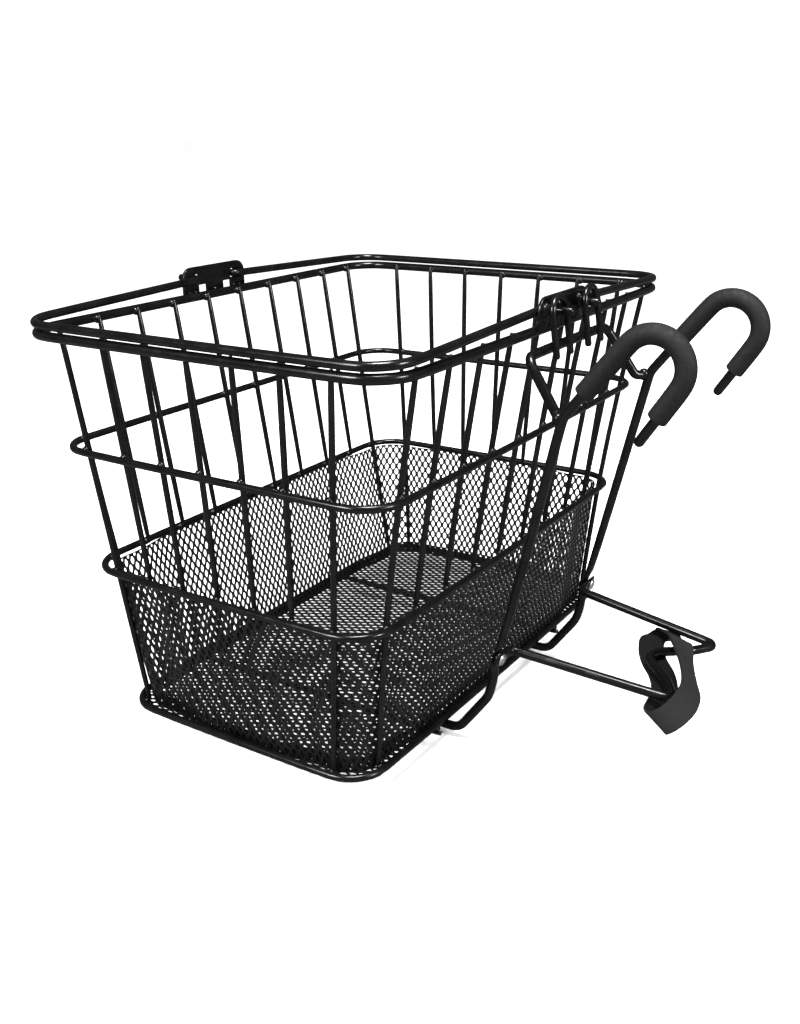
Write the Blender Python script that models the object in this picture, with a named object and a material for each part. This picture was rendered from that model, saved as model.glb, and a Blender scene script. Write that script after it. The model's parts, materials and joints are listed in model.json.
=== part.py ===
"""Lift-off wire handlebar basket with an expanded-mesh tub, two folding bail
handles and a hook-on handlebar bracket.

Frame: X runs across the bike, +Y points back to the rider, +Z is up.
The origin is the centre of the handlebar seat, midway between the two hooks.
Lengths below are millimetres measured in the basket's own frame, whose zero
height is the centre of the base ring; build() shifts them to the seat."""
import bpy
import bmesh
import math
from mathutils import Vector

MM = 0.001
SEAT = Vector((0.0, 230.3, 248.8))      # handlebar centre in the basket's frame
GAP = 0.3                               # clearance between touching pieces

# rings: full width, full depth, corner radius, height, centre in Y, wire radius
RINGS = {
    'rim_ring': (374.0, 281.2, 28.0, 254.0, 0.0, 3.2),
    'middle_ring': (361.0, 254.2, 27.0, 180.0, 0.0, 2.5),
    'lower_ring': (354.4, 229.8, 29.0, 98.0, 0.0, 2.5),
    'base_ring': (346.8, 200.5, 26.0, 0.0, 5.4, 2.5),
}
STAVE_R = 2.0
# stave stations along the long and the short sides at each ring, and how far
# the whole row is set over on each side of the basket
LONG_AT = {'rim_ring': (17.7, 53.2, 88.6, 124.0, 159.0), 'middle_ring': (17.7, 53.0, 88.2, 123.0, 156.5),
           'lower_ring': (17.6, 52.6, 87.5, 122.3, 154.3), 'base_ring': (0, 0, 0, 0, 148.8)}
SHORT_AT = {'rim_ring': (0.0, 34.3, 68.3, 103.0), 'middle_ring': (0.0, 32.2, 64.2, 96.8),
            'lower_ring': (0.0, 29.3, 58.4, 89.0), 'base_ring': (0, 0, 0, 80.5)}
SET_OVER = {'front': (0.5, 2.3, 1.5, 0.7), 'rear': (-4.6, -3.0, -3.0, 0.0),
            'left': (-3.0, -3.2, -1.0, 0.0), 'right': (4.0, 4.4, 3.0, 1.0)}

TUB_TOP, TUB_FLOOR, TUB_T, TUB_BEND = 97.2, -2.2, 1.0, 5.0
TUB_IN = 8.3                            # tub outline inside the ring centre lines
RAIL_X, RAIL_R, RAIL_Z = 88.4, 2.5, -5.3

PLATE_HALF, PLATE_TOP, PLATE_BOTTOM, PLATE_T, PLATE_Y = 33.5, 275.0, 255.6, 2.2, 144.0
NOTCH_IN, NOTCH_OUT, NOTCH_TOP = 9.0, 17.6, 261.4
PIN_X, PIN_Z, PIN_OUT, PIN_HOLE = 19.5, 266.2, 161.5, 3.5

BAIL_R, BAIL_Y, BAIL_X, BAIL_Z, BAIL_CORNER, BAIL_BEND = 2.8, 140.7, 187.0, 260.6, 27.0, 3.3

PRONG_X, PRONG_HALF, PRONG_R = 22.9, 9.6, 2.2
PRONG_TOP, PRONG_TIP, PRONG_Y_TOP, PRONG_Y_TIP = 275.4, 239.4, 152.6, 157.5

WIRE_R = 3.175                          # quarter-inch bracket wire
HOOK_X = 68.0
HOOK_FOOT_Y, HOOK_FOOT_Z = 82.0, -11.0
HOOK_HEEL = (111.0, -11.0)
HOOK_KNEE = (133.4, 20.0)
HOOK_NECK = (179.0, 214.4)
HOOK_ARC_R = 18.8
HOOK_RETURN = 57.0                      # degrees below level of the return leg
HOOK_TIP = 40.0
SLEEVE_R = 6.4
RIVET_Z = 50.5

CROSS_CORNER = (57.3, 150.0, 244.5)
CROSS_KNEE = (60.0, 171.5, 213.0)
CROSS_END = (65.3, 175.7, 212.2)
CROSS_R = 8.0

REST_TAB_X, REST_FLAT_X, REST_NECK_X, REST_TIP_X = 75.0, 63.5, 54.2, 42.6    # flat from tab end to FLAT_X
REST_Y0, REST_Z0, REST_Y1, REST_Z1 = 141.8, 50.5, 248.5, 39.3
REST_ARM = (24.0, 236.5)
REST_VEE_Y = 211.5

STRAP_W, STRAP_T = 17.0, 1.8

# colour, roughness and metallic value, by a word in the node's name
LOOKS = {
    'black': ((0.012, 0.012, 0.013, 1), 0.32, 0.0),
    'sleeve': ((0.03, 0.03, 0.032, 1), 0.6, 0.0),
    'rivet': ((0.78, 0.78, 0.8, 1), 0.3, 1.0),
    'strap': ((0.02, 0.02, 0.02, 1), 0.95, 0.0),
    'tub': ((0.02, 0.02, 0.021, 1), 0.4, 0.0),
}


# ---------------------------------------------------------------- helpers
def unit(v):
    return v.normalized()


def rounded(points, radii, steps=5, closed=False):
    """Polyline with each corner replaced by an arc of the given radius."""
    n = len(points)
    out = []
    for i in range(n):
        p = points[i]
        r = radii[i] if isinstance(radii, (list, tuple)) else radii
        if (not closed and i in (0, n - 1)) or r <= 0:
            out.append(p.copy())
            continue
        a, b = points[i - 1], points[(i + 1) % n]
        u, w = unit(a - p), unit(b - p)
        turn = math.pi - u.angle(w)
        cut = r * math.tan(turn / 2)
        bis = unit(u + w)
        centre = p + bis * (r / math.cos(turn / 2))
        s, e = p + u * cut - centre, p + w * cut - centre
        for k in range(steps + 1):
            t = k / steps
            f0 = math.sin((1 - t) * turn) / math.sin(turn)
            f1 = math.sin(t * turn) / math.sin(turn)
            out.append(centre + s * f0 + e * f1)
    return out


def tidy(points, least=0.4):
    out = [points[0]]
    for p in points[1:]:
        if (p - out[-1]).length > least:
            out.append(p)
    return out


def tangents(pts, closed):
    n = len(pts)
    out = []
    for i in range(n):
        a = pts[i - 1] if (closed or i) else pts[0]
        b = pts[(i + 1) % n] if (closed or i < n - 1) else pts[-1]
        out.append(unit(b - a))
    return out


def make(name, bm, origin=SEAT):
    """Turn a bmesh in the basket's millimetres into a named object whose
    origin is the given point, shifted to the part's own frame."""
    bmesh.ops.recalc_face_normals(bm, faces=bm.faces[:])
    for v in bm.verts:
        v.co = (v.co - origin) * MM
    me = bpy.data.meshes.new(name)
    bm.to_mesh(me)
    bm.free()
    ob = bpy.data.objects.new(name, me)
    ob.location = (origin - SEAT) * MM
    bpy.context.scene.collection.objects.link(ob)
    mat = bpy.data.materials.new(name + '_mat')
    mat.use_nodes = True
    bsdf = mat.node_tree.nodes['Principled BSDF']
    colour, rough, metal = LOOKS['black']
    for key in LOOKS:
        if key in name:
            colour, rough, metal = LOOKS[key]
    bsdf.inputs['Base Color'].default_value = colour
    bsdf.inputs['Roughness'].default_value = rough
    bsdf.inputs['Metallic'].default_value = metal
    me.materials.append(mat)
    for p in me.polygons:
        p.use_smooth = True
    me.set_sharp_from_angle(angle=math.radians(40))
    return ob


def sweep(name, pts, ups, half, sides=8, closed=False, square=False, round_ends=True, origin=SEAT):
    """A closed solid swept along pts. half is (a, b): a along 'up', b across."""
    pts = [Vector(p) for p in pts]
    n = len(pts)
    if not isinstance(ups, list):
        ups = [ups] * n
    if not isinstance(half, list):
        half = [half] * n
    ts = tangents(pts, closed)
    rings = []
    for i, p in enumerate(pts):
        u = unit(ups[i] - ts[i] * ups[i].dot(ts[i]))
        w = ts[i].cross(u)
        rings.append((p, u, w, half[i][0], half[i][1], ts[i]))
    if round_ends and not closed:
        p, u, w, a, b, t = rings[0]
        c = 0.4 * min(a, b)
        rings = [(p, u, w, a - c, b - c, t), (p + t * c, u, w, a, b, t)] + rings[1:]
        p, u, w, a, b, t = rings[-1]
        rings = rings[:-1] + [(p - t * c, u, w, a, b, t), (p, u, w, a - c, b - c, t)]
    bm = bmesh.new()
    loops = []
    for p, u, w, a, b, t in rings:
        if square:
            cs = [(-1, -1), (1, -1), (1, 1), (-1, 1)]
            loops.append([bm.verts.new(p + u * a * x + w * b * y) for x, y in cs])
        else:
            turns = [2 * math.pi * k / sides for k in range(sides)]
            loops.append([bm.verts.new(p + u * a * math.cos(t) + w * b * math.sin(t)) for t in turns])
    m = len(loops[0])
    count = len(loops)
    for i in range(count if closed else count - 1):
        A, B = loops[i], loops[(i + 1) % count]
        for k in range(m):
            bm.faces.new((A[k], A[(k + 1) % m], B[(k + 1) % m], B[k]))
    if not closed:
        bm.faces.new(list(reversed(loops[0])))
        bm.faces.new(loops[-1])
    return make(name, bm, origin)


def ring_points(width, depth, r, z, yc, steps=5):
    a, b = width / 2, depth / 2
    corners = [Vector((a, yc + b, z)), Vector((-a, yc + b, z)), Vector((-a, yc - b, z)), Vector((a, yc - b, z))]
    return rounded(corners, r, steps, closed=True)


def extrude_outline(name, outer, holes, y0, y1):
    """Plate in the XZ plane between y0 and y1: outline and holes are lists of (x, z)."""
    bm = bmesh.new()
    edges = []
    for loop in [outer] + holes:
        vs = [bm.verts.new((x, y0, z)) for x, z in loop]
        edges += [bm.edges.new((vs[i], vs[(i + 1) % len(vs)])) for i in range(len(vs))]
    bmesh.ops.triangle_fill(bm, use_beauty=True, use_dissolve=False, edges=edges)
    faces = bm.faces[:]
    ext = bmesh.ops.extrude_face_region(bm, geom=faces)
    for v in [g for g in ext['geom'] if isinstance(g, bmesh.types.BMVert)]:
        v.co.y = y1
    return make(name, bm)


def arc2(cx, cz, r, a0, a1, n):
    return [(cx + r * math.cos(math.radians(a0 + (a1 - a0) * k / n)),
             cz + r * math.sin(math.radians(a0 + (a1 - a0) * k / n))) for k in range(n + 1)]


# ---------------------------------------------------------------- basket
def build_rings():
    for name, (w, d, r, z, yc, wire) in RINGS.items():
        sides = 10 if wire > 3 else 8
        sweep(name, ring_points(w, d, r, z, yc), Vector((0, 0, 1)), (wire, wire), sides=sides, closed=True)


def beside(ring, side, sign, along):
    """Centre of a stave that touches the inside of a ring, following the
    ring round its corner when the station lies past the straight part."""
    w, d, r, z, yc, wire = RINGS[ring]
    inset = wire + STAVE_R + GAP
    if side == 'long':
        past = abs(along) - (w / 2 - r)
    else:
        past = abs(along - yc) - (d / 2 - r)
    inset += 0.45 if past > 0 else 0.0
    reach = math.sqrt(max(0.0, (r - inset) ** 2 - max(0.0, past) ** 2))
    if side == 'long':
        return Vector((along, yc + sign * (d / 2 - r + reach), z))
    return Vector((sign * (w / 2 - r + reach), along, z))


def stave(name, levels, row, side, sign, k):
    """One upright, touching the inside of every ring that it passes."""
    pts = []
    for i, ring in enumerate(levels):
        at = LONG_AT[ring][abs(k) - 1] if side == 'long' else SHORT_AT[ring][abs(k)]
        pts.append(beside(ring, side, sign, math.copysign(at, k) + SET_OVER[row][i]))
    pts[0] = pts[0] + unit(pts[0] - pts[1]) * 2.0
    if len(levels) == 3:
        pts[-1] = pts[-1] + unit(pts[-1] - pts[-2]) * 0.6
    up = Vector((1, 0, 0)) if side == 'long' else Vector((0, 1, 0))
    sweep(name, pts, up, (STAVE_R, STAVE_R), sides=8)


def build_staves():
    names = list(RINGS)
    for label, sign in (('rear', 1), ('front', -1)):
        order = [-5, -4, -3, -2, -1, 1, 2, 3, 4, 5]
        for i, k in enumerate(order):
            levels = names if abs(k) == 5 else names[:3]
            stave('stave_%s_%02d' % (label, i + 1), levels, label, 'long', sign, k)
    for label, sign in (('left', 1), ('right', -1)):
        for i, k in enumerate([-3, -2, -1, 0, 1, 2, 3]):
            levels = names if abs(k) == 3 else names[:3]
            stave('stave_%s_%02d' % (label, i + 1), levels, label, 'short', sign, k)


def build_tub():
    """Thin open shell with the outer shape of the expanded-mesh tub."""
    wl, dl, rl, zl, yl, _ = RINGS['lower_ring']
    wb, db, rb, zb, yb, _ = RINGS['base_ring']

    def outline(z, inset):
        t = (z - zb) / (zl - zb)
        inside = TUB_IN + inset
        width, depth = wb + (wl - wb) * t - 2 * inside, db + (dl - db) * t - 2 * inside
        return ring_points(width, depth, rb + (rl - rb) * t - inside, z, yb + (yl - yb) * t)
    f, r = TUB_FLOOR, TUB_BEND
    outer = [outline(TUB_TOP, 0), outline(f + r, 0)]
    inner = [outline(TUB_TOP, TUB_T), outline(f + r, TUB_T)]
    for a in (35, 65, 90):
        c, s = math.cos(math.radians(a)), math.sin(math.radians(a))
        outer.append(outline(f + r * (1 - s), r * (1 - c)))
        q = r - TUB_T
        inner.append(outline(f + TUB_T + q * (1 - s), TUB_T + q * (1 - c)))
    bm = bmesh.new()
    L = [[bm.verts.new(p) for p in ring] for ring in outer]
    M = [[bm.verts.new(p) for p in ring] for ring in inner]
    n = len(L[0])

    def skin(a, b):
        for k in range(n):
            bm.faces.new((a[k], a[(k + 1) % n], b[(k + 1) % n], b[k]))
    for a, b in zip(L, L[1:]):
        skin(a, b)
    bm.faces.new(L[-1])
    for a, b in zip(M, M[1:]):
        skin(b, a)
    bm.faces.new(M[-1])
    skin(M[0], L[0])
    make('mesh_tub', bm)
    # two rails under the tub, front to back
    _, d, _, _, yc, wire = RINGS['base_ring']
    for label, s in (('left', 1), ('right', -1)):
        ends = [Vector((s * RAIL_X, y, RAIL_Z)) for y in (yc - d / 2 - 3.0, yc + d / 2 + 3.6)]
        sweep('floor_rail_' + label, ends, Vector((1, 0, 0)), (RAIL_R, RAIL_R), sides=8)


def build_plates():
    h, top, bot = PLATE_HALF, PLATE_TOP, PLATE_BOTTOM
    outer = arc2(h - 8, top - 8, 8, 0, 90, 4) + arc2(-h + 8, top - 8, 8, 90, 180, 4)
    outer += [(-h, bot), (-NOTCH_OUT, bot), (-NOTCH_OUT, NOTCH_TOP), (-NOTCH_IN, NOTCH_TOP), (-NOTCH_IN, bot),
              (NOTCH_IN, bot), (NOTCH_IN, NOTCH_TOP), (NOTCH_OUT, NOTCH_TOP), (NOTCH_OUT, bot), (h, bot)]
    for label, s in (('rear', 1), ('front', -1)):
        holes = [arc2(x, PIN_Z, PIN_HOLE, 0, 330, 11) for x in (PIN_X, -PIN_X)]
        extrude_outline('handle_plate_' + label, outer, holes, s * PLATE_Y, s * (PLATE_Y + PLATE_T))


def build_prongs():
    for label, s in (('left', 1), ('right', -1)):
        def at(x, z):
            t = (PRONG_TOP - z) / (PRONG_TOP - PRONG_TIP)
            return Vector((s * PRONG_X + x, PRONG_Y_TOP + (PRONG_Y_TIP - PRONG_Y_TOP) * t, z))
        zc = PRONG_TOP - PRONG_HALF
        pts = [at(PRONG_HALF, PRONG_TIP), at(PRONG_HALF, zc - 8)]
        pts += [at(x, z) for x, z in arc2(0, zc, PRONG_HALF, 0, 180, 9)]
        pts += [at(-PRONG_HALF, zc - 8), at(-PRONG_HALF, PRONG_TIP)]
        sweep('prong_' + label, pts, Vector((0, 1, 0.2)), (PRONG_R, PRONG_R), sides=8)


def bail_points(s):
    def level(x):
        return PIN_Z + (BAIL_Z - PIN_Z) * (x - PIN_X) / (BAIL_X - PIN_X)
    key = [(PIN_X, -PIN_OUT), (PIN_X, -BAIL_Y), (BAIL_X, -BAIL_Y), (BAIL_X, BAIL_Y), (PIN_X, BAIL_Y), (PIN_X, PIN_OUT)]
    pts = [Vector((s * x, y, level(x))) for x, y in key]
    return rounded(pts, [0, BAIL_BEND, BAIL_CORNER, BAIL_CORNER, BAIL_BEND, 0], 6)


def build_bails():
    for label, s in (('left', 1), ('right', -1)):
        hinge = Vector((s * PIN_X, 0, PIN_Z))
        sweep('bail_' + label, bail_points(s), Vector((0, 0, 1)), (BAIL_R, BAIL_R), sides=10, origin=hinge)


# ---------------------------------------------------------------- bracket
def hook_profile():
    """Centre line of one hook wire in its own (y, z) plane, tip last, with
    the places where the sleeve starts and stops."""
    seat = Vector((0, SEAT.y, SEAT.z))
    neck = Vector((0, HOOK_NECK[0], HOOK_NECK[1]))
    to = seat - neck
    rise = math.atan2(to.z, to.y) + math.asin(HOOK_ARC_R / to.length)
    low = [Vector((0, HOOK_FOOT_Y, HOOK_FOOT_Z)), Vector((0, *HOOK_HEEL)), Vector((0, *HOOK_KNEE)), neck]
    a0 = rise + math.pi / 2
    start = seat + Vector((0, math.cos(a0), math.sin(a0))) * HOOK_ARC_R
    pts = rounded(low + [start], [0, 12, 22, 18, 0], 4)
    a1 = -math.radians(90 - HOOK_RETURN)
    arc = []
    n = 13
    for k in range(1, n + 1):
        a = a0 + (a1 - a0) * k / n
        arc.append(seat + Vector((0, math.cos(a), math.sin(a))) * HOOK_ARC_R)
    back = Vector((0, -math.cos(math.radians(HOOK_RETURN)), -math.sin(math.radians(HOOK_RETURN))))
    end = arc[-1]
    climb = unit(start - neck)
    sleeve = [neck + climb * 19.5, neck + climb * 33, start] + arc + [end + back * 12, end + back * 21.0]
    return pts + arc + [end + back * HOOK_TIP], sleeve


def build_hooks():
    wire, sleeve = hook_profile()
    lower = unit(Vector((0, HOOK_NECK[0] - HOOK_KNEE[0], HOOK_NECK[1] - HOOK_KNEE[1])))
    for label, s in (('left', 1), ('right', -1)):
        pts, half = [], []
        for p in tidy(wire):
            q = Vector((s * HOOK_X, p.y, p.z))
            if pts and pts[-1].z < RIVET_Z < q.z:
                base = pts[-1]
                for dz, a, b in ((-11, 0, 0), (-6, 2.2, -1.9), (0, 2.4, -1.9), (6, 2.2, -1.9), (11, 0, 0)):
                    t = (RIVET_Z + dz - base.z) / lower.z
                    pts.append(base + lower * t - Vector((0, 2.0 if a else 0.0, 0)))
                    half.append((WIRE_R + a, WIRE_R + b))
            pts.append(q)
            half.append((WIRE_R, WIRE_R))
        sweep('hook_wire_' + label, pts, Vector((1, 0, 0)), half, sides=10)
        path = [Vector((s * HOOK_X, p.y, p.z)) for p in sleeve]
        tube('hook_sleeve_' + label, path, Vector((1, 0, 0)), SLEEVE_R, WIRE_R + GAP)


def tube(name, pts, up, outer, inner, sides=12):
    """Hollow sleeve round a wire."""
    ts = tangents(pts, False)
    bm = bmesh.new()
    A, B = [], []
    for p, t in zip(pts, ts):
        u = unit(up - t * up.dot(t))
        w = t.cross(u)
        spokes = [u * math.cos(2 * math.pi * k / sides) + w * math.sin(2 * math.pi * k / sides) for k in range(sides)]
        A.append([bm.verts.new(p + spoke * outer) for spoke in spokes])
        B.append([bm.verts.new(p + spoke * inner / math.cos(math.pi / sides)) for spoke in spokes])
    for i in range(len(pts) - 1):
        for k in range(sides):
            j = (k + 1) % sides
            bm.faces.new((A[i][k], A[i][j], A[i + 1][j], A[i + 1][k]))
            bm.faces.new((B[i][j], B[i][k], B[i + 1][k], B[i + 1][j]))
    for k in range(sides):
        j = (k + 1) % sides
        bm.faces.new((A[0][j], A[0][k], B[0][k], B[0][j]))
        bm.faces.new((A[-1][k], A[-1][j], B[-1][j], B[-1][k]))
    return make(name, bm)


def build_cross_bar():
    half = [Vector(CROSS_END), Vector(CROSS_KNEE), Vector(CROSS_CORNER)]
    key = half + [Vector((-p.x, p.y, p.z)) for p in reversed(half)]
    pts = rounded(key, [0, 4.0, CROSS_R, CROSS_R, 4.0, 0], 5)
    sweep('cross_bar', pts, Vector((0, 0.75, 0.66)), (WIRE_R, WIRE_R), sides=10)


def build_rest():
    """U-shaped rest that bears on the head tube, riveted to the hook wires."""
    slope = (REST_Z1 - REST_Z0) / (REST_Y1 - REST_Y0)

    def at(x, y):
        return Vector((x, y, REST_Z0 + slope * (y - REST_Y0)))
    y0, y1, yv, (ax, ay) = REST_Y0, REST_Y1, REST_VEE_Y, REST_ARM
    side = [(REST_TAB_X, y0), (REST_FLAT_X, y0), (REST_NECK_X, y0), (REST_TIP_X, y1), (ax, ay)]
    key = [at(x, y) for x, y in side] + [at(0, yv)] + [at(-x, y) for x, y in reversed(side)]
    pts = tidy(rounded(key, [0, 0, 5.0, 5.0, 18.0, 12.0, 18.0, 5.0, 5.0, 0, 0], 5))
    up = Vector((0, -slope, 1))
    half, ups = [], []
    for p in pts:
        f = min(1.0, max(0.0, (abs(p.x) - 57.5) / 3.5)) if p.y < y0 + 4 else 0.0
        half.append((WIRE_R + 2.0 * f, WIRE_R - 1.9 * f))
        ups.append(Vector((0, 0.235 * f - slope * (1 - f), 1)))
    sweep('head_tube_rest', pts, ups, half, sides=10, round_ends=False)


def lathe(name, centre, axis, up, profile, sides=14):
    """Turned solid: profile is (distance along axis, radius), closed at both ends."""
    axis = unit(axis)
    u = unit(up - axis * up.dot(axis))
    w = axis.cross(u)
    bm = bmesh.new()
    spokes = [u * math.cos(2 * math.pi * k / sides) + w * math.sin(2 * math.pi * k / sides) for k in range(sides)]
    loops = [[bm.verts.new(centre + axis * d + spoke * r) for spoke in spokes] for d, r in profile]
    for A, B in zip(loops, loops[1:]):
        for k in range(sides):
            bm.faces.new((A[k], A[(k + 1) % sides], B[(k + 1) % sides], B[k]))
    bm.faces.new(list(reversed(loops[0])))
    bm.faces.new(loops[-1])
    return make(name, bm)


def build_rivets():
    normal = Vector((0, math.cos(math.atan(0.235)), -math.sin(math.atan(0.235))))
    for label, s in (('left', 1), ('right', -1)):
        c = Vector((s * (HOOK_X + 1.5), REST_Y0, RIVET_Z))
        lathe('rivet_' + label, c + normal * (1.3 + GAP), normal, Vector((1, 0, 0)),
              [(0, 4.3), (0.7, 4.3), (1.4, 3.6), (1.9, 2.2), (2.05, 0.7)])


def strap_points():
    """Centre line and width direction of the hook-and-loop strap, one closed
    turn: over the right leg of the rest, round outside its left tip, and back
    underneath both legs."""
    key = [
        ((-47.0, 212.0, 37.9), (0.05, 0.99, -0.1)),
        ((-36.0, 219.0, 41.0), (0.0, 0.92, -0.38)),
        ((-20.0, 229.0, 48.4), (-0.1, 0.9, -0.3)),
        ((0.0, 239.0, 47.4), (-0.35, 0.62, -0.7)),
        ((18.0, 248.6, 45.0), (-0.4, 0.5, -0.76)),
        ((33.0, 255.2, 43.6), (-0.4, 0.6, -0.7)),
        ((44.5, 256.2, 41.0), (-0.2, 0.75, -0.63)),
        ((52.5, 253.6, 37.0), (0.0, 0.85, -0.53)),
        ((56.8, 248.5, 32.2), (0.1, 0.82, -0.57)),
        ((56.0, 243.0, 28.6), (0.08, 0.8, -0.6)),
        ((48.0, 239.5, 29.6), (-0.1, 0.88, -0.45)),
        ((36.0, 238.5, 32.0), (-0.3, 0.93, -0.2)),
        ((22.0, 235.0, 34.2), (-0.5, 0.86, 0.0)),
        ((9.0, 228.0, 35.6), (-0.6, 0.8, 0.05)),
        ((-5.0, 217.5, 36.4), (-0.55, 0.83, 0.05)),
        ((-20.0, 209.8, 37.0), (-0.4, 0.92, 0.0)),
        ((-35.0, 205.5, 36.0), (-0.2, 0.98, 0.0)),
        ((-48.0, 206.0, 32.6), (-0.05, 1.0, 0.0)),
        ((-53.5, 208.5, 34.6), (0.0, 1.0, 0.0)),
    ]
    n = len(key)
    pts, wid = [], []
    per = 3
    for i in range(n):
        P = [Vector(key[(i + j) % n][0]) for j in (-1, 0, 1, 2)]
        W = [Vector(key[(i + j) % n][1]).normalized() for j in (-1, 0, 1, 2)]
        for q in range(1, 4):           # keep the width direction continuous
            if W[q].dot(W[q - 1]) < 0:
                W[q] = -W[q]
        for k in range(per):
            t = k / per

            def cr(a, b, c, d):
                return 0.5 * ((2 * b) + (c - a) * t + (2 * a - 5 * b + 4 * c - d) * t * t + (3 * b - a - 3 * c + d) * t ** 3)
            pts.append(cr(*P))
            wid.append(unit(cr(*W)))
    for i in range(1, len(wid)):
        if wid[i].dot(wid[i - 1]) < 0:
            wid[i] = -wid[i]
    return pts, wid


def build_strap():
    pts, wid = strap_points()
    sweep('strap', pts, wid, (STRAP_W / 2, STRAP_T / 2), closed=True, square=True)


def build():
    for ob in list(bpy.data.objects):
        bpy.data.objects.remove(ob, do_unlink=True)
    build_rings()
    build_staves()
    build_tub()
    build_plates()
    build_prongs()
    build_bails()
    build_hooks()
    build_cross_bar()
    build_rest()
    build_rivets()
    build_strap()


build()
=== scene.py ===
# %% [markdown]
# # A wire basket that lifts off the handlebar
# The real basket is bent and welded steel wire round a tub of expanded mesh,
# dipped in a gloss black coat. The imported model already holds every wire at
# its size, so this lesson rounds the wires, opens the mesh, adds the welds
# and the coat, and sets up a small studio.

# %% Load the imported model
import json
import math

import bpy
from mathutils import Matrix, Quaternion, Vector
from mathutils.bvhtree import BVHTree


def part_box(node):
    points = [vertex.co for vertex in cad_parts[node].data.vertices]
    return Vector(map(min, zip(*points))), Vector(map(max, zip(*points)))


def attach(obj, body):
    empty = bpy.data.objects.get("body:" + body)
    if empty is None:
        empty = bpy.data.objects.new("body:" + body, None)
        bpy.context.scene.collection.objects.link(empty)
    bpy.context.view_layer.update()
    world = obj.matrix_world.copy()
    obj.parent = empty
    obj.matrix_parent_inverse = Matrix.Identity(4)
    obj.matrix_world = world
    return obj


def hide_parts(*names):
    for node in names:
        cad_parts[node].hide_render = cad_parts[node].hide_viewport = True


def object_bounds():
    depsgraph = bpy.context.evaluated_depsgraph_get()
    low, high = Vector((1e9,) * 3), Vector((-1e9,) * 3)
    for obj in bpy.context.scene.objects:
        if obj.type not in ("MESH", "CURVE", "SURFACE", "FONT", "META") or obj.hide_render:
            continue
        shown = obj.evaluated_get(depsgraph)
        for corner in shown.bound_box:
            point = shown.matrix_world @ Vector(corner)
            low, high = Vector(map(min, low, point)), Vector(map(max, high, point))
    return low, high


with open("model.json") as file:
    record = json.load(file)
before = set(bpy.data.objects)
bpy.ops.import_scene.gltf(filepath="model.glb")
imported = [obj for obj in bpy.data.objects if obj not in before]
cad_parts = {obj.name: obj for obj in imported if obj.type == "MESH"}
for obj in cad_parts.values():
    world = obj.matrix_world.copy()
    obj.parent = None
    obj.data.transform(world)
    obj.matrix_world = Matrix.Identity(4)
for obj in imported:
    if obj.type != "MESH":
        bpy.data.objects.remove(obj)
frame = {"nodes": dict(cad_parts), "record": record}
CAD_BOX = [list(corner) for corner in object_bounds()]
MM = 0.001
BODY_OF = {node: body for body, nodes in frame["record"]["behaviour"]["bodies"].items() for node in nodes}
print("box of the packed model:", CAD_BOX)

# %% [markdown]
# ## The camera
# A product camera stands above and behind the rider's left, about twice as far
# away as the basket is wide. Its place is given in the model's own metres, and two
# angles say where it looks.

# %% Camera
CAMERA_AT = Vector((0.62343, 0.20461, 0.13040))
CAMERA_AZIMUTH, CAMERA_RISE, CAMERA_ROLL = (math.radians(a) for a in (123.584, 20.051, -0.956))
LENS = 38.33

camera_data = bpy.data.cameras.new("studio_camera")
camera_data.lens = LENS
camera = bpy.data.objects.new("studio_camera", camera_data)
bpy.context.scene.collection.objects.link(camera)
camera.location = CAMERA_AT
camera.rotation_mode = "QUATERNION"
back = Vector((math.sin(CAMERA_AZIMUTH) * math.cos(CAMERA_RISE),
               -math.cos(CAMERA_AZIMUTH) * math.cos(CAMERA_RISE), math.sin(CAMERA_RISE)))
camera.rotation_quaternion = Quaternion(back, CAMERA_ROLL) @ back.to_track_quat("Z", "Y")
bpy.context.scene.camera = camera
print("camera looks along", tuple(round(-c, 3) for c in back))

# %% [markdown]
# ## Small tools
# Every operator works on what is selected, so each piece is made the only
# selected one first. The last step of each piece is always the same: give it
# its finish, hang it on the body that carries it and hide the imported parts
# it stands for.

# %% Selecting, modifying and placing
def select_only(piece):
    bpy.ops.object.select_all(action="DESELECT")
    piece.select_set(True)
    bpy.context.view_layer.objects.active = piece


def modify(piece, kind, **settings):
    """Add a modifier, set it up and apply it."""
    select_only(piece)
    modifier = piece.modifiers.new(kind.lower(), kind)
    for key, value in settings.items():
        setattr(modifier, key, value)
    bpy.ops.object.modifier_apply(modifier=modifier.name)


def edit(piece):
    select_only(piece)
    bpy.ops.object.mode_set(mode="EDIT")
    bpy.ops.mesh.select_all(action="SELECT")


def done_editing():
    bpy.ops.object.mode_set(mode="OBJECT")


def smooth(piece, degrees=40):
    select_only(piece)
    bpy.ops.object.shade_smooth_by_angle(angle=math.radians(degrees))


def finish_piece(piece, body, materials, stands_for=()):
    piece.data.materials.clear()
    for material in materials:
        piece.data.materials.append(material)
    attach(piece, body)
    if stands_for:
        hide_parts(*stands_for)


# %% [markdown]
# ## The finishes
# Powder coat is a thick, glossy skin: almost black, with a faint orange peel
# that breaks up its highlights. Expanded mesh gets
# the same coat but thinner, so it is a little rougher. The foam sleeves are
# matt and finely pitted, the strap is woven outside and furry inside, and the
# rivets are bare bright metal.

# %% Node helpers and the coats
def new_material(name, base, roughness, **extra):
    material = bpy.data.materials.new(name)
    material.use_nodes = True
    shader = material.node_tree.nodes["Principled BSDF"]
    shader.inputs["Base Color"].default_value = (*base, 1)
    shader.inputs["Roughness"].default_value = roughness
    for socket, value in extra.items():
        shader.inputs[socket.replace("_", " ").title().replace("Ior", "IOR")].default_value = value
    return material, material.node_tree, shader


def noise(tree, scale, detail=3.0, coordinates="Object"):
    place = tree.nodes.new("ShaderNodeTexCoord")
    texture = tree.nodes.new("ShaderNodeTexNoise")
    texture.inputs["Scale"].default_value = scale
    texture.inputs["Detail"].default_value = detail
    tree.links.new(place.outputs[coordinates], texture.inputs["Vector"])
    return texture.outputs["Fac"]


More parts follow.
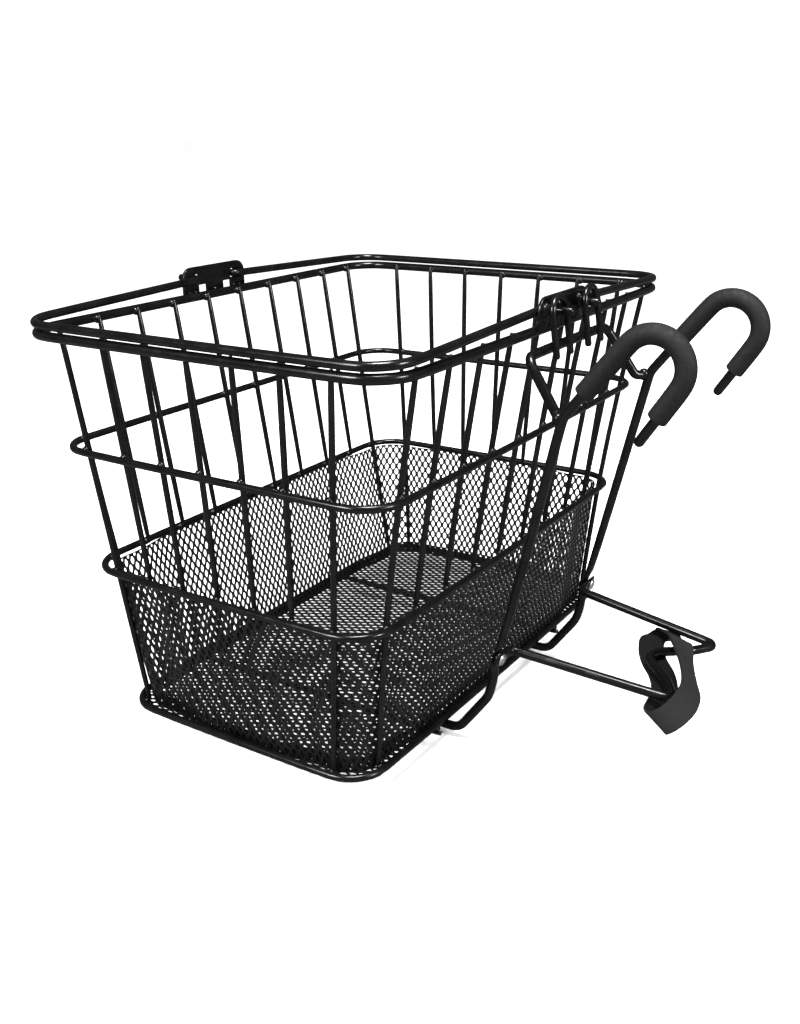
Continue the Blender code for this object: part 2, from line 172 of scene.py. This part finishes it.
def spread(tree, value, low, high, start=0.3, end=0.7):
    """Stretch a 0..1 pattern over low..high."""
    node = tree.nodes.new("ShaderNodeMapRange")
    for socket, number in (("From Min", start), ("From Max", end), ("To Min", low), ("To Max", high)):
        node.inputs[socket].default_value = number
    tree.links.new(value, node.inputs["Value"])
    return node.outputs["Result"]


def bump(tree, shader, height, strength, distance):
    node = tree.nodes.new("ShaderNodeBump")
    node.inputs["Strength"].default_value = strength
    node.inputs["Distance"].default_value = distance
    tree.links.new(height, node.inputs["Height"])
    tree.links.new(node.outputs["Normal"], shader.inputs["Normal"])


def tint(tree, shader, pattern, dark, light):
    node = tree.nodes.new("ShaderNodeValToRGB")
    node.color_ramp.elements[0].position = 0.35
    node.color_ramp.elements[1].position = 0.7
    node.color_ramp.elements[0].color = (*dark, 1)
    node.color_ramp.elements[1].color = (*light, 1)
    tree.links.new(pattern, node.inputs["Fac"])
    tree.links.new(node.outputs["Color"], shader.inputs["Base Color"])


def coat(name, base, low_rough, high_rough, peel):
    material, tree, shader = new_material(name, base, low_rough, ior=1.36)
    tree.links.new(spread(tree, noise(tree, 90), low_rough, high_rough), shader.inputs["Roughness"])
    tint(tree, shader, noise(tree, 60), tuple(0.7 * c for c in base), tuple(1.5 * c for c in base))
    bump(tree, shader, noise(tree, 900, 2.0), peel, 0.0002)
    return material


black_coat = coat("gloss_black_powder_coat", (0.0022, 0.0022, 0.0024), 0.16, 0.3, 0.12)
mesh_coat = coat("thin_coat_on_mesh", (0.0028, 0.0028, 0.003), 0.3, 0.46, 0.2)

# %% Foam, strap and rivet finishes
foam, foam_tree, foam_shader = new_material("matt_foam", (0.003, 0.003, 0.0032), 0.6, ior=1.33)
foam_tree.links.new(spread(foam_tree, noise(foam_tree, 300), 0.6, 0.85), foam_shader.inputs["Roughness"])
tint(foam_tree, foam_shader, noise(foam_tree, 700), (0.0022, 0.0022, 0.0024), (0.004, 0.004, 0.0042))
bump(foam_tree, foam_shader, noise(foam_tree, 2200, 2.0), 0.35, 0.0002)

rivet_metal, rivet_tree, rivet_shader = new_material("bright_rivet", (0.82, 0.82, 0.83), 0.28, metallic=1.0)
rivet_tree.links.new(spread(rivet_tree, noise(rivet_tree, 600), 0.2, 0.4), rivet_shader.inputs["Roughness"])
bump(rivet_tree, rivet_shader, noise(rivet_tree, 500), 0.15, 0.0002)

WEAVE_ALONG, WEAVE_ACROSS = 150.0, 11.0


def webbing(name, base, height):
    """Plain weave: ribs along the strap crossed by ribs over it, from the strap's own map."""
    material, tree, shader = new_material(name, base, 0.85, ior=1.3)
    place = tree.nodes.new("ShaderNodeTexCoord")
    waves = []
    for direction, scale in (("X", WEAVE_ALONG), ("Y", WEAVE_ACROSS)):
        wave = tree.nodes.new("ShaderNodeTexWave")
        wave.bands_direction = direction
        wave.inputs["Scale"].default_value = scale / 2
        wave.inputs["Distortion"].default_value = 0.6
        tree.links.new(place.outputs["UV"], wave.inputs["Vector"])
        waves.append(wave.outputs["Fac"])
    both = tree.nodes.new("ShaderNodeMath")
    both.operation = "MULTIPLY"
    tree.links.new(waves[0], both.inputs[0])
    tree.links.new(waves[1], both.inputs[1])
    tint(tree, shader, both.outputs[0], tuple(0.6 * c for c in base), tuple(1.6 * c for c in base))
    bump(tree, shader, both.outputs[0], 0.6, height)
    return material


strap_face = webbing("strap_webbing", (0.007, 0.007, 0.0074), 0.0003)
strap_fur, fur_tree, fur_shader = new_material("strap_loop_pile", (0.004, 0.004, 0.004), 1.0, ior=1.2)
tint(fur_tree, fur_shader, noise(fur_tree, 900, 6.0), (0.0015, 0.0015, 0.0015), (0.008, 0.008, 0.008))
bump(fur_tree, fur_shader, noise(fur_tree, 1500, 6.0), 0.9, 0.0006)

# %% [markdown]
# ## Round wires
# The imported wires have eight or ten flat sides. A drawn wire is round, so each
# one is copied, its loose triangles are merged and paired into quads, and one
# level of subdivision doubles its sides. Subdividing pulls a ring of points
# inwards, so the copy is fattened first by just as much.

# %% Rounded copies of the wires
def merged_copy(node, name):
    piece = bpy.data.objects.new(name, frame["nodes"][node].data.copy())
    bpy.context.scene.collection.objects.link(piece)
    edit(piece)
    bpy.ops.mesh.remove_doubles(threshold=0.00001)
    bpy.ops.mesh.tris_convert_to_quads(face_threshold=math.radians(18), shape_threshold=math.radians(80))
    done_editing()
    return piece


def fatten(piece, distance):
    edit(piece)
    bpy.ops.transform.shrink_fatten(value=distance)
    done_editing()


def crease_ends(piece):
    """Keep the cut ends of the thicker wires flat: only their rims are this sharp."""
    edit(piece)
    bpy.ops.mesh.select_mode(type="EDGE")
    bpy.ops.mesh.select_all(action="DESELECT")
    bpy.ops.mesh.edges_select_sharp(sharpness=math.radians(41))
    bpy.ops.transform.edge_crease(value=0.75)
    done_editing()


TIP_REACH = 1.6 * MM


def crease_lowest(piece):
    """Crease the rims at the hanging tips of a prong."""
    points = piece.data.vertices
    lowest = min(v.co.z for v in points)
    edit(piece)
    bpy.ops.mesh.select_mode(type="EDGE")
    bpy.ops.mesh.select_all(action="DESELECT")
    done_editing()
    for e in piece.data.edges:
        a, b = (points[k].co for k in e.vertices)
        e.select = max(a.z, b.z) < lowest + TIP_REACH and abs(a.z - b.z) < 0.4 * (a - b).length
    bpy.ops.object.mode_set(mode="EDIT")
    bpy.ops.transform.edge_crease(value=0.75)
    done_editing()


def wire_loss(radius, sides):
    """How much thinner one subdivision makes a wire of this many sides."""
    return radius * (1 / (0.75 + 0.25 * math.cos(2 * math.pi / sides)) - 1)


def round_wire(node, radius_mm, sides, material=None, levels=1):
    piece = merged_copy(node, node + "_round")
    if sides > 8:
        crease_ends(piece)
    if node.startswith("prong"):
        crease_lowest(piece)
    fatten(piece, wire_loss(radius_mm * MM, sides))
    modify(piece, "SUBSURF", levels=levels, render_levels=levels)
    smooth(piece, 50)
    finish_piece(piece, BODY_OF[node], [material or black_coat], [node])
    return piece


WIRES = {"rim_ring": (3.2, 10), "middle_ring": (2.5, 8), "lower_ring": (2.5, 8), "base_ring": (2.5, 8),
         "stave": (2.0, 8), "floor_rail": (2.5, 8), "prong": (2.2, 8), "bail": (2.8, 10),
         "hook_wire": (3.175, 10), "cross_bar": (3.175, 10), "head_tube_rest": (3.175, 10)}
count = 0
for node in sorted(BODY_OF):
    for start, (radius, sides) in WIRES.items():
        if node.startswith(start):
            round_wire(node, radius, sides)
            count += 1
print("rounded wires:", count)

# %% [markdown]
# ## Sleeves and rivets
# The foam sleeves and the rivet heads are turned shapes too, so they are
# rounded the same way, with their own finishes.

# %% Sleeves and rivets
for side in ("left", "right"):
    sleeve = merged_copy("hook_sleeve_" + side, "foam_sleeve_" + side)
    modify(sleeve, "BEVEL", width=0.0005, segments=2, limit_method="ANGLE", angle_limit=math.radians(50))
    modify(sleeve, "SUBSURF", levels=1, render_levels=1)
    smooth(sleeve, 50)
    finish_piece(sleeve, BODY_OF["hook_sleeve_" + side], [foam], ["hook_sleeve_" + side])
    rivet = merged_copy("rivet_" + side, "rivet_head_" + side)
    modify(rivet, "SUBSURF", levels=2, render_levels=2)
    smooth(rivet, 50)
    finish_piece(rivet, BODY_OF["rivet_" + side], [rivet_metal], ["rivet_" + side])
print("sleeves and rivets rounded")

# %% [markdown]
# ## Handle plates
# The plates are cut from sheet and their edges are softened by the coat. The
# copy's triangles are first dissolved into one flat face per side, and then a
# narrow bevel rounds every edge.

# %% Handle plates
for place in ("front", "rear"):
    plate = merged_copy("handle_plate_" + place, "handle_plate_%s_coated" % place)
    edit(plate)
    bpy.ops.mesh.dissolve_limited(angle_limit=math.radians(2))
    done_editing()
    modify(plate, "BEVEL", width=0.0004, segments=2, limit_method="ANGLE", angle_limit=math.radians(40))
    smooth(plate, 35)
    finish_piece(plate, "basket", [black_coat], ["handle_plate_" + place])
print("plates done")

# %% [markdown]
# ## Expanded mesh
# Expanded metal is slit and stretched sheet: rows of diamond openings about
# ten millimetres tall and six wide. A grid has one cell per diamond. Poking
# every cell and dissolving the grid's own edges leaves diamonds, insetting
# each one leaves a strand all round it, cutting the corners of the middles
# rounds them, and deleting the middles opens the net.
# The flat sheet is laid on the tub by a formula before that, and given its
# thickness after it.

# %% The tub's own shape, read from its solid
PITCH_ACROSS, PITCH_TALL = 5.8 * MM, 10.2 * MM
STRAND, SHEET = 1.35 * MM, 0.9 * MM
low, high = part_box("mesh_tub")
ring_low, ring_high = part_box("base_ring"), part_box("lower_ring")


def tub_half(ring, inset, wire):
    """Half width, half depth and centre of the tub beside a ring."""
    (x0, y0, _), (x1, y1, _) = ring
    return (x1 - x0) / 2 - wire - inset, (y1 - y0) / 2 - wire - inset, (y0 + y1) / 2


WALL_IN = 7.9 * MM
BULGE, BULGE_START, BULGE_FULL = 4.4 * MM, 12 * MM, 45 * MM
WIRE = 2.5 * MM
CORNER = 20 * MM
BASE = tub_half(ring_low, WALL_IN, WIRE)
TOP = tub_half(ring_high, WALL_IN, WIRE)
BASE_Z, TOP_Z = low[2], high[2]
RING_Z = (ring_low[0][2] + ring_low[1][2]) / 2, (ring_high[0][2] + ring_high[1][2]) / 2


def bulge(from_corner):
    """The wall lies close to the ring between the corners, and inside the uprights near them."""
    t = min(1.0, max(0.0, (from_corner - BULGE_START) / (BULGE_FULL - BULGE_START)))
    return BULGE * t * t * (3 - 2 * t)


def outline(share, height, inset=0.0):
    """Point on the tub's wall: share runs 0..1 round it, height is in metres."""
    t = (height - RING_Z[0]) / (RING_Z[1] - RING_Z[0])
    half_x = BASE[0] + (TOP[0] - BASE[0]) * t - inset
    half_y = BASE[1] + (TOP[1] - BASE[1]) * t - inset
    centre_y = BASE[2] + (TOP[2] - BASE[2]) * t
    r = CORNER - inset
    straight = [2 * (half_y - r), 2 * (half_x - r)]
    arc = math.pi / 2 * r
    way = share * (2 * sum(straight) + 4 * arc)
    x, y, turn = half_x, -(half_y - r), 0
    for side in range(4):
        run = straight[side % 2]
        ahead = Vector((-math.sin(turn), math.cos(turn), 0))
        inward = Vector((-math.cos(turn), -math.sin(turn), 0))
        if way <= run:
            out = inward * -bulge(min(way, run - way))
            return Vector((x, y, 0)) + ahead * way + out + Vector((0, centre_y, height))
        x, y, way = x + ahead.x * run, y + ahead.y * run, way - run
        if way <= arc:
            a = way / r
            point = Vector((x, y, 0)) + inward * r * (1 - math.cos(a)) + ahead * r * math.sin(a)
            return point + Vector((0, centre_y, height))
        corner = Vector((x, y, 0)) + (inward + ahead) * r
        x, y, way, turn = corner.x, corner.y, way - arc, turn + math.pi / 2
    return Vector((x, y, 0)) + Vector((0, centre_y, height))


girth = 4 * (BASE[0] + BASE[1] + TOP[0] + TOP[1]) / 2 - 8 * CORNER + 2 * math.pi * CORNER
COLUMNS = round(girth / PITCH_ACROSS)
print("tub girth %.0f mm, %d diamonds round it" % (girth / MM, COLUMNS))


# %% Cutting diamonds out of a grid
def open_diamonds(sheet, strand):
    """Turn a grid into a net of diamond openings with strands between them."""
    edit(sheet)
    bpy.ops.mesh.remove_doubles(threshold=0.0001)
    done_editing()
    grid_edges = {tuple(sorted(e.vertices)) for e in sheet.data.edges}
    corners = len(sheet.data.vertices)
    edit(sheet)
    bpy.ops.mesh.poke()
    bpy.ops.mesh.select_all(action="DESELECT")
    bpy.ops.mesh.select_mode(type="EDGE")
    done_editing()
    sides = {}
    for face in sheet.data.polygons:
        for key in face.edge_keys:
            sides[key] = sides.get(key, 0) + 1
    for e in sheet.data.edges:
        key = tuple(sorted(e.vertices))
        e.select = max(key) < corners and key in grid_edges and sides[key] == 2
    bpy.ops.object.mode_set(mode="EDIT")
    bpy.ops.mesh.dissolve_edges(use_verts=False)
    bpy.ops.mesh.select_mode(type="FACE")
    bpy.ops.mesh.select_all(action="SELECT")
    bpy.ops.mesh.inset(thickness=strand / 2, use_individual=True, use_boundary=True)
    bpy.ops.mesh.bevel(offset=strand * 0.7, offset_type="OFFSET", segments=1, affect="VERTICES")
    done_editing()
    for face in sheet.data.polygons:
        if len(face.vertices) == 3:
            face.select = False
    bpy.ops.object.mode_set(mode="EDIT")
    bpy.ops.mesh.delete(type="FACE")
    done_editing()


def thicken(sheet, thickness):
    modify(sheet, "SOLIDIFY", thickness=thickness, offset=0.0, use_even_offset=False)


# %% Wall and its turned-up floor edge
def wall_net(name, bottom, top, rows, inset, shift=0.0):
    bpy.ops.mesh.primitive_grid_add(x_subdivisions=COLUMNS, y_subdivisions=rows, size=1)
    sheet = bpy.context.object
    sheet.name = name
    for v in sheet.data.vertices:
        share, up = v.co.x + 0.5, v.co.y + 0.5
        share = 0.0 if share > 1 - 0.1 / COLUMNS else share
        v.co = outline(share + shift / COLUMNS, bottom + (top - bottom) * up, inset)
    open_diamonds(sheet, STRAND)
    thicken(sheet, SHEET)
    smooth(sheet, 35)
    finish_piece(sheet, "basket", [mesh_coat])
    return sheet


TUCK = 1.0 * MM
wall_rows = round((TOP_Z - BASE_Z - TUCK) / PITCH_TALL)
wall = wall_net("mesh_wall", BASE_Z + TUCK, TOP_Z, wall_rows, 0.0)
wall_net("mesh_floor_edge", BASE_Z + TUCK, BASE_Z + TUCK + 9 * MM, 1, 1.3 * MM, shift=0.5)
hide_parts("mesh_tub")
print("wall faces:", len(wall.data.polygons))

# %% [markdown]
# ## The floor
# The floor is a second sheet of the same mesh with its diamonds running front
# to back. The grid is made over the whole rectangle, opened, and then cut back
# to the tub's rounded outline.

# %% Floor net
half_x, half_y, floor_y = BASE[0] + WALL_IN, BASE[1] + WALL_IN, BASE[2]
bpy.ops.mesh.primitive_grid_add(x_subdivisions=round(2 * half_x / PITCH_ACROSS),
                                y_subdivisions=round(2 * half_y / PITCH_TALL), size=1)
floor_net = bpy.context.object
floor_net.name = "mesh_floor"
for v in floor_net.data.vertices:
    v.co = Vector((v.co.x * 2 * half_x, v.co.y * 2 * half_y + floor_y, BASE_Z + TUCK / 2))
open_diamonds(floor_net, STRAND)


RING_CLEAR, RING_CORNER = 0.3 * MM, 23 * MM
ring_half_x, ring_half_y, _ = tub_half(ring_low, RING_CLEAR + WIRE, WIRE)


def past_ring(point):
    """True outside the base ring's inner outline, which the floor reaches under the uprights."""
    dx = abs(point.x) - (ring_half_x - RING_CORNER)
    dy = abs(point.y - floor_y) - (ring_half_y - RING_CORNER)
    return max(dx, dy) > RING_CORNER or (dx > 0 and dy > 0 and math.hypot(dx, dy) > RING_CORNER)


edit(floor_net)
bpy.ops.mesh.select_all(action="DESELECT")
done_editing()
for face in floor_net.data.polygons:
    face.select = past_ring(face.center)
bpy.ops.object.mode_set(mode="EDIT")
bpy.ops.mesh.delete(type="FACE")
done_editing()
thicken(floor_net, SHEET)
smooth(floor_net, 35)
finish_piece(floor_net, "basket", [mesh_coat])
print("floor faces:", len(floor_net.data.polygons))

# %% [markdown]
# ## Welds
# Wherever an upright crosses a ring, the two are welded and the coat fills the
# corner, so each joint is a soft lump. One lump is modelled, a squashed
# low-poly ball, and copied to every joint. Its place comes from the wires
# themselves: the middle of the upright at the ring's height, moved towards the
# nearest point of the ring.

# %% One lump, and a way to copy it
bpy.ops.mesh.primitive_ico_sphere_add(subdivisions=2, radius=1.0)
lump = bpy.context.object
lump.name = "weld_pattern"


def lump_at(centre, size, outward=Vector((1, 0, 0)), up=Vector((0, 0, 1))):
    """A copy of the lump with its half sizes along outward, across and up."""
    piece = bpy.data.objects.new("weld", lump.data.copy())
    bpy.context.scene.collection.objects.link(piece)
    out = outward.normalized()
    across = up.cross(out).normalized()
    rise = out.cross(across)
    for v in piece.data.vertices:
        v.co = centre + out * v.co.x * size[0] + across * v.co.y * size[1] + rise * v.co.z * size[2]
    return piece


def join_lumps(lumps, name, body):
    select_only(lumps[0])
    for piece in lumps:
        piece.select_set(True)
    bpy.ops.object.join()
    group = bpy.context.object
    group.name = name
    smooth(group, 180)
    finish_piece(group, body, [black_coat])
    return group


def middle_at(node, height):
    """Centre of an upright at a height, between its nearest rings of points."""
    points = sorted((v.co for v in frame["nodes"][node].data.vertices), key=lambda p: p.z)
    below = [p for p in points if p.z <= height + 0.0002][-18:]
    above = [p for p in points if p.z > height - 0.0002][:18]
    pair = [sum(group, Vector()) / len(group) for group in (below, above) if group]
    if len(pair) == 1 or abs(pair[1].z - pair[0].z) < 0.001:
        return Vector((pair[0].x, pair[0].y, height))
    t = (height - pair[0].z) / (pair[1].z - pair[0].z)
    centre = pair[0].lerp(pair[1], min(1, max(0, t)))
    return Vector((centre.x, centre.y, height))


# %% Welds at every crossing of an upright and a ring
uprights = [node for node in BODY_OF if node.startswith("stave_")]
LUMPS = {"rim_ring": (2.6, 3.4, 3.0, -0.6), "middle_ring": (2.2, 2.9, 3.0, 0.9),
         "lower_ring": (2.2, 2.8, 2.6, 0.4), "base_ring": (2.2, 2.6, 2.4, 0.6)}
for ring, (out, across, rise, lift) in LUMPS.items():
    (_, _, z0), (_, _, z1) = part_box(ring)
    height = (z0 + z1) / 2
    mesh = frame["nodes"][ring].data
    tree = BVHTree.FromPolygons([v.co for v in mesh.vertices], [p.vertices for p in mesh.polygons])
    lumps = []
    for node in uprights:
        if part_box(node)[0][2] > height + 0.002:
            continue
        centre = middle_at(node, height)
        near = tree.find_nearest(centre)[0]
        outward = Vector((near.x - centre.x, near.y - centre.y, 0))
        spot = centre + outward * 0.9 + Vector((0, 0, lift * MM))
        lumps.append(lump_at(spot, (out * MM, across * MM, rise * MM), outward))
    join_lumps(lumps, "welds_" + ring, "basket")
    print(ring, "welds:", len(lumps))

# %% Welds of prongs, plates, rails and cross bar
BACKWARDS = Vector((0, 1, 0))
PRONG_LUMP, PLATE_LUMP = (3.2 * MM, 1.6 * MM, 4.5 * MM), (1.3 * MM, 2.6 * MM, 1.6 * MM)
RAIL_LUMP, BAR_LUMP = (3.0 * MM, 2.8 * MM, 1.5 * MM), (3.6 * MM, 3.8 * MM, 4.2 * MM)
BAR_END_X = 66.2 * MM
_, (_, plate_back, plate_top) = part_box("handle_plate_rear")
lumps = []
for side in ("left", "right"):
    (x0, y0, z0), (x1, y1, z1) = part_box("prong_" + side)
    for x in (x0 + 2.2 * MM, x1 - 2.2 * MM):
        spot = Vector((x, (plate_back + y0) / 2 + 0.6 * MM, plate_top - 7 * MM))
        lumps.append(lump_at(spot, PRONG_LUMP, BACKWARDS))
for place in ("front", "rear"):
    (x0, y0, z0), (x1, y1, z1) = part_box("handle_plate_" + place)
    inner = y0 if place == "rear" else y1
    for x in (x0 + 6 * MM, x0 + 12 * MM, 0.0, x1 - 12 * MM, x1 - 6 * MM):
        lumps.append(lump_at(Vector((x, inner, z0 + 1.2 * MM)), PLATE_LUMP, BACKWARDS))
(_, ring_front, ring_under), (_, ring_back, _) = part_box("base_ring")
for side in ("left", "right"):
    (x0, y0, z0), (x1, y1, z1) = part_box("floor_rail_" + side)
    for y in (ring_front + WIRE, ring_back - WIRE):
        spot = Vector(((x0 + x1) / 2, y, (ring_under + z1) / 2 + 0.3 * MM))
        lumps.append(lump_at(spot, RAIL_LUMP, BACKWARDS))
join_lumps(lumps, "welds_of_fittings", "basket")

lumps = []
(_, _, bar_under), (_, bar_back, _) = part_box("cross_bar")
for side in (-1, 1):
    spot = Vector((side * BAR_END_X, bar_back - 2.2 * MM, bar_under + 3.4 * MM))
    lumps.append(lump_at(spot, BAR_LUMP))
join_lumps(lumps, "welds_of_cross_bar", "bracket")
bpy.data.objects.remove(lump, do_unlink=True)

# %% [markdown]
# ## The strap
# The hook-and-loop strap is a closed loop that hangs on the rest. A long grid
# is laid along its route, which keeps a clean map for the weave, and then
# gets its thickness: woven outside, loop pile inside.

# %% Route of the strap, in millimetres from the handlebar's seat
SEAT = Vector((0.0, 230.3, 248.8))
ROUTE = [
    ((-47.0, 212.0, 37.9), (0.05, 0.99, -0.1)), ((-36.0, 219.0, 41.0), (0.0, 0.92, -0.38)),
    ((-20.0, 229.0, 48.4), (-0.1, 0.9, -0.3)), ((0.0, 239.0, 47.4), (-0.35, 0.62, -0.7)),
    ((18.0, 248.6, 45.0), (-0.4, 0.5, -0.76)), ((33.0, 255.2, 43.6), (-0.4, 0.6, -0.7)),
    ((44.5, 256.2, 41.0), (-0.2, 0.75, -0.63)), ((52.5, 253.6, 37.0), (0.0, 0.85, -0.53)),
    ((56.8, 248.5, 32.2), (0.1, 0.82, -0.57)), ((56.0, 243.0, 28.6), (0.08, 0.8, -0.6)),
    ((48.0, 239.5, 29.6), (-0.1, 0.88, -0.45)), ((36.0, 238.5, 32.0), (-0.3, 0.93, -0.2)),
    ((22.0, 235.0, 34.2), (-0.5, 0.86, 0.0)), ((9.0, 228.0, 35.6), (-0.6, 0.8, 0.05)),
    ((-5.0, 217.5, 36.4), (-0.55, 0.83, 0.05)), ((-20.0, 209.8, 37.0), (-0.4, 0.92, 0.0)),
    ((-35.0, 205.5, 36.0), (-0.2, 0.98, 0.0)), ((-48.0, 206.0, 32.6), (-0.05, 1.0, 0.0)),
    ((-53.5, 208.5, 34.6), (0.0, 1.0, 0.0)),
]
STRAP_WIDE, STRAP_THICK = 17.0 * MM, 1.7 * MM
STATIONS, ACROSS = 228, 6


def between(a, b, c, d, t):
    """Smooth curve from b to c with a and d as its neighbours."""
    return 0.5 * (2 * b + (c - a) * t + (2 * a - 5 * b + 4 * c - d) * t ** 2 + (3 * b - a - 3 * c + d) * t ** 3)


def strap_at(share):
    """Centre and width direction at a share of the way round the route."""
    n = len(ROUTE)
    i, t = divmod((share % 1.0) * n, 1.0)
    points = [Vector(ROUTE[(int(i) + k) % n][0]) for k in (-1, 0, 1, 2)]
    widths = [Vector(ROUTE[(int(i) + k) % n][1]).normalized() for k in (-1, 0, 1, 2)]
    return (between(*points, t) - SEAT) * MM, between(*widths, t).normalized()


bpy.ops.mesh.primitive_grid_add(x_subdivisions=STATIONS, y_subdivisions=ACROSS, size=1, calc_uvs=True)
strap = bpy.context.object
strap.name = "hook_and_loop_strap"
for v in strap.data.vertices:
    centre, wide = strap_at(v.co.x + 0.5)
    v.co = centre + wide * v.co.y * STRAP_WIDE
edit(strap)
bpy.ops.mesh.remove_doubles(threshold=0.0001)
done_editing()
strap.data.materials.append(strap_face)
strap.data.materials.append(strap_fur)
modify(strap, "SOLIDIFY", thickness=STRAP_THICK, offset=0.0, material_offset=1, material_offset_rim=0)
modify(strap, "BEVEL", width=0.0003, segments=2, limit_method="ANGLE", angle_limit=math.radians(50))
smooth(strap, 50)
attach(strap, "bracket")
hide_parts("strap")
print("strap faces:", len(strap.data.polygons))

# %% [markdown]
# ## The studio
# A pale, flat floor under a white world keeps the background plain, and three
# soft lights draw highlights down the wires.

# %% Floor and lights
FLOOR_Z = CAD_BOX[0][2] - 0.004
bpy.ops.mesh.primitive_plane_add(size=30, location=(0, 0, FLOOR_Z))
studio_floor = bpy.context.object
studio_floor.name = "studio_floor"
pale, pale_tree, pale_shader = new_material("pale_paper", (0.92, 0.92, 0.92), 0.9)
studio_floor.data.materials.append(pale)

world = bpy.data.worlds.new("studio_air")
bpy.context.scene.world = world
world.use_nodes = True
air = world.node_tree
background = air.nodes["Background"]
background.inputs["Color"].default_value = (1, 1, 1, 1)
AIR_SEEN, AIR_MIRRORED = 1.12, 0.08
PAPER_SEEN, PAPER_MIRRORED = 0.97, 0.06


def dim_in_reflections(tree, seen, mirrored, socket):
    """Black flags round a studio set keep gloss black: mirrored rays get the lower value."""
    rays = tree.nodes.new("ShaderNodeLightPath")
    mix = tree.nodes.new("ShaderNodeMix")
    mix.data_type = "FLOAT"
    mix.inputs[2].default_value = seen
    mix.inputs[3].default_value = mirrored
    tree.links.new(rays.outputs["Is Glossy Ray"], mix.inputs[0])
    tree.links.new(mix.outputs[0], socket)


dim_in_reflections(air, AIR_SEEN, AIR_MIRRORED, background.inputs["Strength"])
paper_tone = pale_tree.nodes.new("ShaderNodeCombineColor")
for channel in ("Red", "Green", "Blue"):
    dim_in_reflections(pale_tree, PAPER_SEEN, PAPER_MIRRORED, paper_tone.inputs[channel])
pale_tree.links.new(paper_tone.outputs["Color"], pale_shader.inputs["Base Color"])


def softbox(name, at, size, power):
    light = bpy.data.lights.new(name, "AREA")
    light.size = size
    light.energy = power
    lamp = bpy.data.objects.new(name, light)
    bpy.context.scene.collection.objects.link(lamp)
    lamp.location = at
    lamp.rotation_mode = "QUATERNION"
    lamp.rotation_quaternion = (Vector(at) - Vector((0, -0.15, -0.1))).to_track_quat("Z", "Y")


softbox("soft_top", (0.3, 0.1, 1.3), 0.45, 55)
softbox("soft_left", (1.3, -0.6, 0.7), 0.4, 30)
softbox("soft_right", (0.1, 1.5, 0.6), 0.4, 30)
bpy.context.scene.view_settings.view_transform = "Standard"
